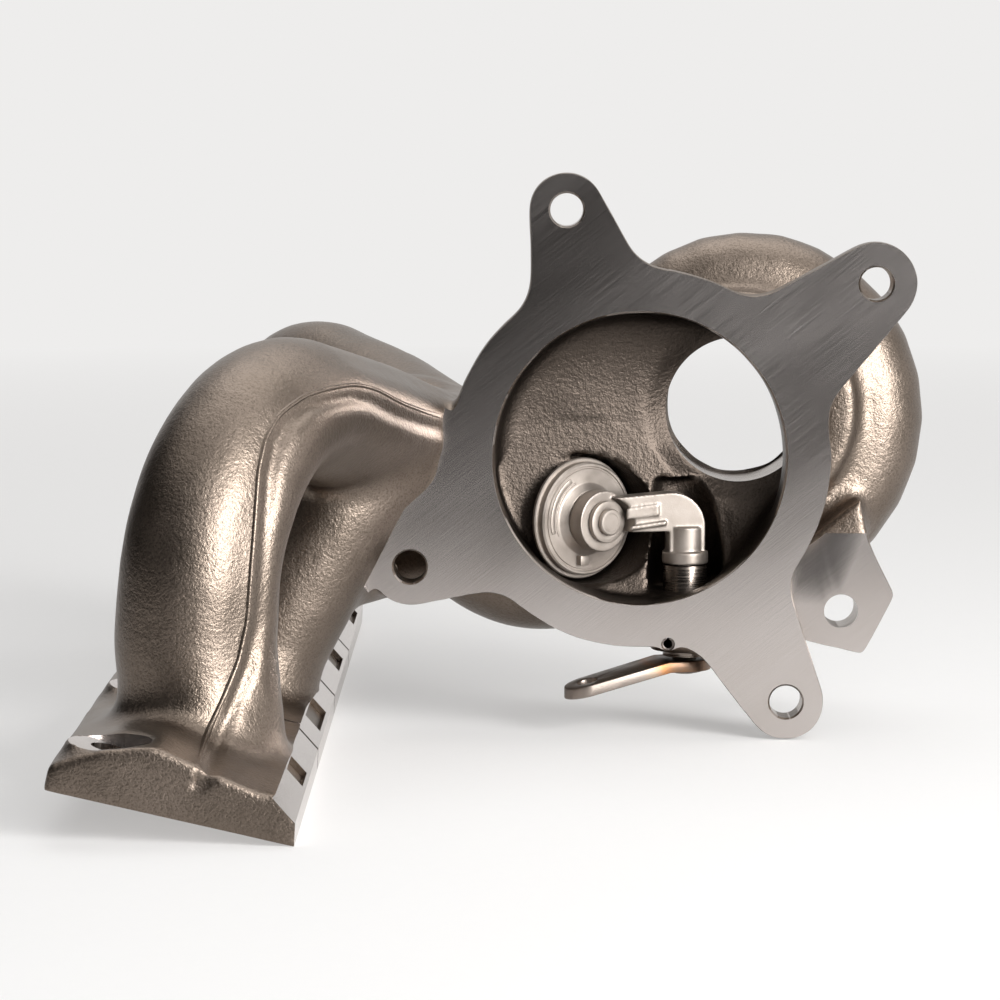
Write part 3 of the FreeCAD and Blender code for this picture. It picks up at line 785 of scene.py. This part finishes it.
# In the order of use; the forms of one tool don't meet each other
TOOLS = (outlet_face_tool, joint_face_tool, bore_tools, edge_break_tools, lug_face_tool, head_edge_tool,
         slit_tools, pocket_tools)


def machine(piece):
    """Cuts the casting with every tool in turn, as on the machining line."""
    slots = [slot.material for slot in piece.material_slots]
    for number, make_tool in enumerate(TOOLS):
        tool = link("tool_" + str(number), to_mesh("tool", make_tool()), None)
        for material in slots:
            tool.data.materials.append(material)
        change = piece.modifiers.new(tool.name, "BOOLEAN")
        change.operation = "DIFFERENCE"
        change.solver = "MANIFOLD"
        change.object = tool
        bake(piece)
        bpy.data.objects.remove(tool)


def smooth(piece, angle=35.0):
    """Smooth shading with every edge sharper than the angle kept crisp."""
    piece.data.shade_smooth()
    piece.data.set_sharp_from_angle(angle=math.radians(angle))


def make_casting(settings):
    """The casting: foundry skin first, then the machined faces and bores cut into it."""
    piece = foundry_form(settings)
    shape_skin(piece, settings)
    for material in (cast_steel(settings), milled_steel(), turned_steel()):
        piece.data.materials.append(material)
    machine(piece)
    smooth(piece)
    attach(piece, "housing")
    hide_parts("turbine_housing")
    return piece


def make_parting_flash(casting, settings):
    """The thin flash that the two halves of the mould left along the front of the first runner."""
    tree = BVHTree.FromPolygons(read_points(casting.data).tolist(),
                                [list(face.vertices) for face in casting.data.polygons])
    eye = mm(*CAMERA_PLACE)
    turn = camera_turn()
    path = []
    for start, end in itertools.pairwise(PARTING_LINE_PX):
        steps = max(2, round(math.dist(start, end) / 4))
        for step in range(steps):
            across, down = (a + (b - a) * step / steps for a, b in zip(start, end))
            ray = turn @ Vector(((across - PICTURE_SIDE / 2) / focal_px(),
                                 (PICTURE_SIDE / 2 - down) / focal_px(), -1.0))
            hit, normal, _, _ = tree.ray_cast(eye, ray.normalized())
            if hit:
                path.append((hit, normal))
    for _ in range(4):
        inner = [((a[0] + 2 * b[0] + c[0]) / 4, (a[1] + 2 * b[1] + c[1]).normalized())
                 for a, b, c in zip(path, path[1:], path[2:])]
        path = path[:1] + inner + path[-1:]
    form = bmesh.new()
    half = settings.flash_width / 2
    profile = ((-1.6, -0.5), (-1.0, 0.35), (-0.6, 1.0), (-0.15, 0.7), (0.15, 0.7), (0.6, 1.0), (1.0, 0.35),
               (1.6, -0.5))
    rings = []
    for index, (place, normal) in enumerate(path):
        ahead = path[min(index + 1, len(path) - 1)][0] - path[max(index - 1, 0)][0]
        side = ahead.cross(normal).normalized()
        fade = min(1.0, index / 6, (len(path) - 1 - index) / 6)
        rings.append([form.verts.new(place + side * (across * half)
                                     + normal * (up * settings.flash_height * (fade if up > 0 else 1)))
                      for across, up in profile])
    join_and_cap(form, rings)
    piece = link("parting_flash", to_mesh("parting_flash", form), "housing")
    piece.data.materials.append(casting.data.materials[0])
    smooth(piece, 60)
    return piece


def add_lathe(form, profile, sides=96):
    """A turned form about the stem of the flap, from radius and height pairs."""
    rings = []
    for radius, above in profile:
        if radius == 0:
            rings.append([form.verts.new(seat_place(above))])
            continue
        ring = []
        for index in range(sides):
            angle = 2 * math.pi * index / sides
            ring.append(form.verts.new(seat_place(above, radius * math.cos(angle), radius * math.sin(angle))))
        rings.append(ring)
    for ring, after in itertools.pairwise(rings):
        for index in range(sides):
            following = (index + 1) % sides
            if len(ring) == 1:
                form.faces.new((ring[0], after[index], after[following]))
            elif len(after) == 1:
                form.faces.new((ring[index], ring[following], after[0]))
            else:
                form.faces.new((ring[index], ring[following], after[following], after[index]))


def add_arc_pad(form, radius, width, start, end, low, high):
    """A raised arc on the flap's face."""
    steps = 16
    profile = ((radius - width / 2, low), (radius - width / 2, high), (radius + width / 2, high),
               (radius + width / 2, low))
    rings = []
    for index in range(steps + 1):
        angle = math.radians(start + (end - start) * index / steps)
        rings.append([form.verts.new(seat_place(above, reach * math.cos(angle), reach * math.sin(angle)))
                      for reach, above in profile])
    join_and_cap(form, rings)


def bevel(piece, width):
    """Rounds a piece's sharp edges over a width in millimetres."""
    change = piece.modifiers.new("edges", "BEVEL")
    change.width = width * MM
    change.segments = 2
    change.limit_method = "ANGLE"
    change.angle_limit = math.radians(30)
    bake(piece)


def make_flap(material):
    """The valve disc: stepped rim, fine groove, hub, raised arcs, nib and riveted stem."""
    face = FLAP_FACE
    rim = FLAP_RADIUS
    profile = ((0, 0.02), (rim - 0.6, 0.02), (rim, 0.5), (rim, 1.3), (rim - 0.3, 1.6), (rim - 1.1, 1.62),
               (rim - 1.2, 1.8), (rim - 1.2, 3.6), (rim - 1.7, face), (rim - 2.3, face),
               (rim - 2.5, face - 0.25), (rim - 2.9, face - 0.25), (rim - 3.1, face), (11.0, face),
               (10.5, face + 0.15), (9.0, face + 1.9), (8.5, face + 2.2), (3.4, face + 2.2),
               (3.4, 13.72), (3.75, 13.76), (3.9, 13.95), (3.9, 14.9), (3.6, 15.25), (3.2, 15.32),
               (2.6, 15.3), (2.5, 15.2), (0, 15.2))
    form = bmesh.new()
    add_lathe(form, profile)
    piece = link("flap_disc", to_mesh("flap_disc", form), "valve")
    marks = bmesh.new()
    add_arc_pad(marks, 13.2, 1.5, 118, 196, face - 0.2, face + 0.32)
    add_arc_pad(marks, 11.7, 0.5, 112, 202, face - 0.2, face + 0.22)
    add_nib(marks, face)
    raised = link("flap_marks", to_mesh("flap_marks", marks), "valve")
    bevel(raised, 0.18)
    for part in (piece, raised):
        part.data.materials.append(material)
        smooth(part)
    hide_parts("wastegate_flap")
    return piece


def add_nib(form, face):
    """The square locating nib low on the flap's face."""
    half = 1.5
    corners = [seat_place(face - 0.3, -2.6 + across * half, -12.0 + up * half)
               for across, up in ((-1, -0.9), (1, -1), (1, 0.9), (-1, 1))]
    add_prism(form, corners, seat_place(face + 2.0) - seat_place(face - 0.3))


def arm_axes():
    """The arm's own axes: its eye's middle, the way to the spindle, and the way to the viewer."""
    middle = seat_place(ARM_EYE_LOW + ARM_EYE_HALF)
    along = mm(SPINDLE_X, SPINDLE_Y, 0) - middle
    along.z = 0
    along.normalize()
    return middle, along, Vector((along.y, -along.x, 0))


def make_arm(material):
    """The arm: its forging rounded at every edge, with the raised pad and rib, and its spindle."""
    form = node_form("wastegate_arm")
    cut = bmesh.ops.bisect_plane(form, geom=[*form.verts, *form.edges, *form.faces],
                                 plane_co=mm(0, 0, COLLAR_LOW_Z + 0.01), plane_no=(0, 0, 1), clear_inner=True)
    rim = [item for item in cut["geom_cut"] if isinstance(item, bmesh.types.BMEdge)]
    bmesh.ops.contextual_create(form, geom=rim)
    middle, along, front = arm_axes()
    up = Vector((0, 0, 1))

    pad = ((7.6, 0.6), (17.2, 1.6), (17.2, 5.0), (7.6, 3.8))
    rib = ((8.6, -2.6), (19.4, -1.2), (19.4, 0.0), (8.6, -1.4))
    for corners, height in ((pad, 0.75), (rib, 1.1)):
        near = [middle + along * distance * MM + up * above * MM + front * ARM_FACE_OUT * MM
                for distance, above in corners]
        add_prism(form, near, front * height * MM)
    piece = link("arm_forging", to_mesh("arm_forging", form), "swing")
    remesh(piece, 0.24 * MM)
    soften(piece.data, 6, 0.9, 0.55)
    shaft = bmesh.new()
    add_cylinder(shaft, mm(SPINDLE_X, SPINDLE_Y, COLLAR_LOW_Z + 0.3),
                 mm(SPINDLE_X, SPINDLE_Y, spindle_low()), SPINDLE_RADIUS)
    spindle = link("arm_spindle", to_mesh("arm_spindle", shaft), "swing")
    bevel(spindle, 0.3)
    for part in (piece, spindle):
        part.data.materials.append(material)
        smooth(part)
    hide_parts("wastegate_arm")
    return piece


def spindle_low():
    """The height of the spindle's lower end, in millimetres."""
    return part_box("wastegate_arm")[0][2] / MM


def refined(name, node, body, width, material):
    """A node's own form with its edges broken, in place of the plain node."""
    piece = link(name, to_mesh(name, node_form(node)), body)
    bevel(piece, width)
    piece.data.materials.append(material)
    smooth(piece)
    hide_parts(node)
    return piece


def make_weld(material):
    """The weld: a rippled bead round the end of the spindle."""
    low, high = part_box("lever_weld")
    form = bmesh.new()
    rings = []
    sides = 90
    profile = ((SPINDLE_RADIUS, high[2]), (6.0, high[2]), (5.9, high[2] - 0.0003), (5.2, high[2] - 0.0007),
               (4.4, low[2]), (SPINDLE_RADIUS, low[2]))
    for radius, z in profile:
        ring = []
        for index in range(sides):
            angle = 2 * math.pi * index / sides
            ripple = 1 - 0.03 * abs(math.sin(angle * 11)) if radius > SPINDLE_RADIUS else 1
            ring.append(form.verts.new((SPINDLE_X * MM + radius * ripple * MM * math.cos(angle),
                                        SPINDLE_Y * MM + radius * ripple * MM * math.sin(angle), z)))
        rings.append(ring)
    join_rings(form, rings + rings[:1])
    piece = link("weld_bead", to_mesh("weld_bead", form), "swing")
    piece.data.materials.append(material)
    smooth(piece)
    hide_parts("lever_weld")
    return piece


def direct_look(tree):
    """1 for a ray from the camera, a mirror or glass, and 0 for one that only gathers light."""
    path = add_node(tree, "ShaderNodeLightPath")
    seen = path.outputs["Is Camera Ray"]
    for kind in ("Is Glossy Ray", "Is Transmission Ray"):
        seen = add_node(tree, "ShaderNodeMath", {"operation": "MAXIMUM"},
                        {0: seen, 1: path.outputs[kind]}).outputs["Value"]
    return seen


def make_floor(settings):
    """The pale sweep of paper: flat under the part, rising behind it."""
    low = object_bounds()[0].z - 0.00005
    form = bmesh.new()
    wide = 6.0
    front, back = -6.0, 2.4
    bend = 1.2
    rise = 5.0
    line = [(front, low), (back, low)]
    for step in range(1, 13):
        angle = math.pi / 2 * step / 12
        line.append((back + bend * math.sin(angle), low + bend * (1 - math.cos(angle))))
    line.append((back + bend, low + rise))
    left = [form.verts.new((-wide, y, z)) for y, z in line]
    right = [form.verts.new((wide, y, z)) for y, z in line]
    for index in range(len(line) - 1):
        form.faces.new((left[index], right[index], right[index + 1], left[index + 1]))
    floor = link("paper_sweep", to_mesh("paper_sweep", form), None)
    finish = Finish("seamless_paper", Roughness=0.7)
    fibre = finish.noise(3.0, detail=3.0)
    finish.set("Base Color", finish.mix(fibre, "#E9E8E7", "#ECEBEA"))
    finish.set("Normal", finish.relief(fibre, 0.05, 0.2))
    distance = finish.add("ShaderNodeVectorMath", {"operation": "LENGTH"}, {0: finish.place}).outputs["Value"]
    share = finish.add("ShaderNodeMath", {"operation": "MULTIPLY"},
                       {0: direct_look(finish.tree),
                        1: finish.spread(distance, settings.glow, 1.0, 0.25, 1.6)})
    pale = finish.add("ShaderNodeEmission", {"Color": linear(BACKGROUND), "Strength": 1.0})
    blend = finish.add("ShaderNodeMixShader", links={0: share.outputs["Value"],
                                                     1: finish.shader.outputs["BSDF"],
                                                     2: pale.outputs["Emission"]})
    finish.tree.links.new(blend.outputs["Shader"], finish.output.inputs["Surface"])
    floor.data.materials.append(finish.material)
    floor.data.shade_smooth()
    floor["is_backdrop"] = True


def add_card(name, place, target, width, height, colour):
    """A flat studio card that shades reflections, unseen by the camera."""
    form = bmesh.new()
    corners = ((-width / 2, -height / 2), (width / 2, -height / 2), (width / 2, height / 2),
               (-width / 2, height / 2))
    turn = (Vector(target) - Vector(place)).to_track_quat("Z", "Y")
    form.faces.new([form.verts.new(Vector(place) + turn @ Vector((x, y, 0))) for x, y in corners])
    card = link(name, to_mesh(name, form), None)
    finish = Finish(name + "_cloth", **{"Base Color": linear(colour), "Roughness": 0.9})
    card.data.materials.append(finish.material)
    card.visible_camera = False
    card.visible_shadow = False
    card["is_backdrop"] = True


def add_lamp(name, place, target, size, power):
    """A soft box: a flat lamp that faces its target."""
    data = bpy.data.lights.new(name, "AREA")
    data.shape = "RECTANGLE"
    data.size, data.size_y = size
    data.energy = power
    lamp = bpy.data.objects.new(name, data)
    bpy.context.scene.collection.objects.link(lamp)
    lamp.location = place
    lamp.rotation_mode = "QUATERNION"
    lamp.rotation_quaternion = (Vector(target) - Vector(place)).to_track_quat("-Z", "Y")


def make_world(settings):
    """Dim studio room for the part, with the pale background for what looks straight at it."""
    world = bpy.data.worlds.new("studio_room")
    bpy.context.scene.world = world
    world.use_nodes = True
    tree = world.node_tree
    tree.nodes.clear()
    room, pale = (add_node(tree, "ShaderNodeBackground", {"Color": linear(BACKGROUND), "Strength": strength})
                  for strength in (settings.room_light, 1.0))
    seen = add_node(tree, "ShaderNodeMixShader", links={"Fac": direct_look(tree), 1: room.outputs[0],
                                                        2: pale.outputs[0]})
    add_node(tree, "ShaderNodeOutputWorld", links={"Surface": seen.outputs[0]})


def make_camera():
    """The photograph's camera."""
    data = bpy.data.cameras.new("photograph")
    data.lens = CAMERA_LENS
    data.sensor_width = SENSOR_WIDTH
    data.clip_start, data.clip_end = 0.05, 50.0
    camera = bpy.data.objects.new("photograph", data)
    bpy.context.scene.collection.objects.link(camera)
    camera.location = mm(*CAMERA_PLACE)
    camera.rotation_euler = camera_turn().to_euler()
    bpy.context.scene.camera = camera


class CastingSettings(bpy.types.PropertyGroup):
    """How the casting's skin is made."""

    grid: FloatProperty(name="Grid", description="Size of the skin's grid", default=0.0009, unit="LENGTH")
    fillet_rounds: IntProperty(name="Fillet Rounds", description="How far hollows are filled", default=70)
    lump_height: FloatProperty(name="Lump Height", description="Height of the skin's slow waves",
                               default=0.0002, unit="LENGTH")
    band_depth: FloatProperty(name="Band Depth", description="Depth of the band beside the parting line",
                              default=0.0012, unit="LENGTH")
    # Painted shade: how strongly the skin inside the outlet chamber is darkened
    painted_chamber_shade: FloatProperty(name="Chamber Shade", description="How dark the skin is inside the outlet chamber",
                        default=0.75)
    flash_width: FloatProperty(name="Flash Width", description="Width of the parting flash",
                               default=0.0011, unit="LENGTH")
    flash_height: FloatProperty(name="Flash Height", description="Height of the parting flash",
                                default=0.00045, unit="LENGTH")


class StudioSettings(bpy.types.PropertyGroup):
    """How the studio is lit."""

    room_light: FloatProperty(name="Room Light", description="Strength of the room's own light",
                              default=0.22)
    glow: FloatProperty(name="Paper Glow", description="How far the paper by the part glows by itself",
                        default=0.45)
    key_power: FloatProperty(name="Key Power", description="Power of the side soft box in watts",
                             default=36.0)
    fill_power: FloatProperty(name="Fill Power", description="Power of the front soft box in watts",
                              default=5.0)
    top_power: FloatProperty(name="Top Power", description="Power of the overhead soft box in watts",
                             default=15.0)


class HOUSING_OT_casting(bpy.types.Operator):
    """Makes the casting with its foundry skin, machined faces and parting flash"""

    bl_idname = "housing.casting"
    bl_label = "Casting"

    def execute(self, context):
        settings = context.scene.casting
        casting = make_casting(settings)
        make_parting_flash(casting, settings)
        return {"FINISHED"}


class HOUSING_OT_wastegate(bpy.types.Operator):
    """Makes the wastegate's flap, washer, arm and bush"""

    bl_idname = "housing.wastegate"
    bl_label = "Wastegate"

    def execute(self, context):
        steel = blasted_steel()
        make_flap(steel)
        refined("flap_washer_ring", "flap_washer", "valve", 0.2, steel)
        make_arm(steel)
        refined("bush_body", "spindle_bush", "housing", 0.35, bush_steel())
        return {"FINISHED"}


class HOUSING_OT_fixings(bpy.types.Operator):
    """Makes the lever with its weld, the roll pin and the dowel"""

    bl_idname = "housing.fixings"
    bl_label = "Lever and Pins"

    def execute(self, context):
        refined("lever_plate", "actuator_lever", "swing", 0.45, lever_steel())
        make_weld(weld_steel())
        pins = spring_steel()
        refined("roll_pin", "bush_pin", "housing", 0.15, pins)
        refined("joint_dowel", "dowel_pin", "housing", 0.4, pins)
        return {"FINISHED"}


class HOUSING_OT_studio(bpy.types.Operator):
    """Sets up the paper sweep, the cards, the lamps and the camera"""

    bl_idname = "housing.studio"
    bl_label = "Studio"

    def execute(self, context):
        settings = context.scene.studio
        make_floor(settings)
        make_world(settings)
        make_camera()
        target = (-0.05, -0.05, -0.02)
        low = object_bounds()[0].z
        black = "#0C0B0B"
        add_card("floor_card", (0.0, -0.96, low + 0.002), (0.0, -0.96, 1.0), 4.0, 1.1, black)
        add_card("front_card", (0.0, -1.5, low + 1.1), (0.0, 0.0, low + 1.1), 4.0, 2.2, black)
        add_card("left_card", (-0.95, -0.15, 0.4), (0.0, -0.15, 0.4), 2.4, 1.0, "#171514")
        add_lamp("key_box", (0.80, -1.0, 0.30), target, (0.6, 0.9), settings.key_power)
        add_lamp("fill_box", (0.32, -1.0, 0.9), target, (1.1, 0.7), settings.fill_power)
        add_lamp("top_box", (0.1, 0.5, 1.7), target, (1.8, 1.4), settings.top_power)
        context.scene.view_settings.view_transform = "Standard"
        return {"FINISHED"}


class HOUSING_PT_panel(bpy.types.Panel):
    """The makers of the part's pieces, with their settings"""

    bl_idname = "HOUSING_PT_panel"
    bl_label = "Turbine Housing"
    bl_space_type = "VIEW_3D"
    bl_region_type = "UI"
    bl_category = "Turbine Housing"

    def draw(self, context):
        layout = self.layout
        for settings in (context.scene.casting, context.scene.studio):
            for name in settings.__annotations__:
                layout.prop(settings, name)
        for operator in OPERATORS:
            layout.operator(operator.bl_idname)


OPERATORS = (HOUSING_OT_casting, HOUSING_OT_wastegate, HOUSING_OT_fixings, HOUSING_OT_studio)
CLASSES = (CastingSettings, StudioSettings, *OPERATORS, HOUSING_PT_panel)


def register():
    for item in CLASSES:
        bpy.utils.register_class(item)
    bpy.types.Scene.casting = PointerProperty(type=CastingSettings)
    bpy.types.Scene.studio = PointerProperty(type=StudioSettings)


def unregister():
    del bpy.types.Scene.studio
    del bpy.types.Scene.casting
    for item in reversed(CLASSES):
        bpy.utils.unregister_class(item)


def main():
    register()
    bpy.ops.housing.casting()
    bpy.ops.housing.wastegate()
    bpy.ops.housing.fixings()
    bpy.ops.housing.studio()


if __name__ == "__main__":
    main()
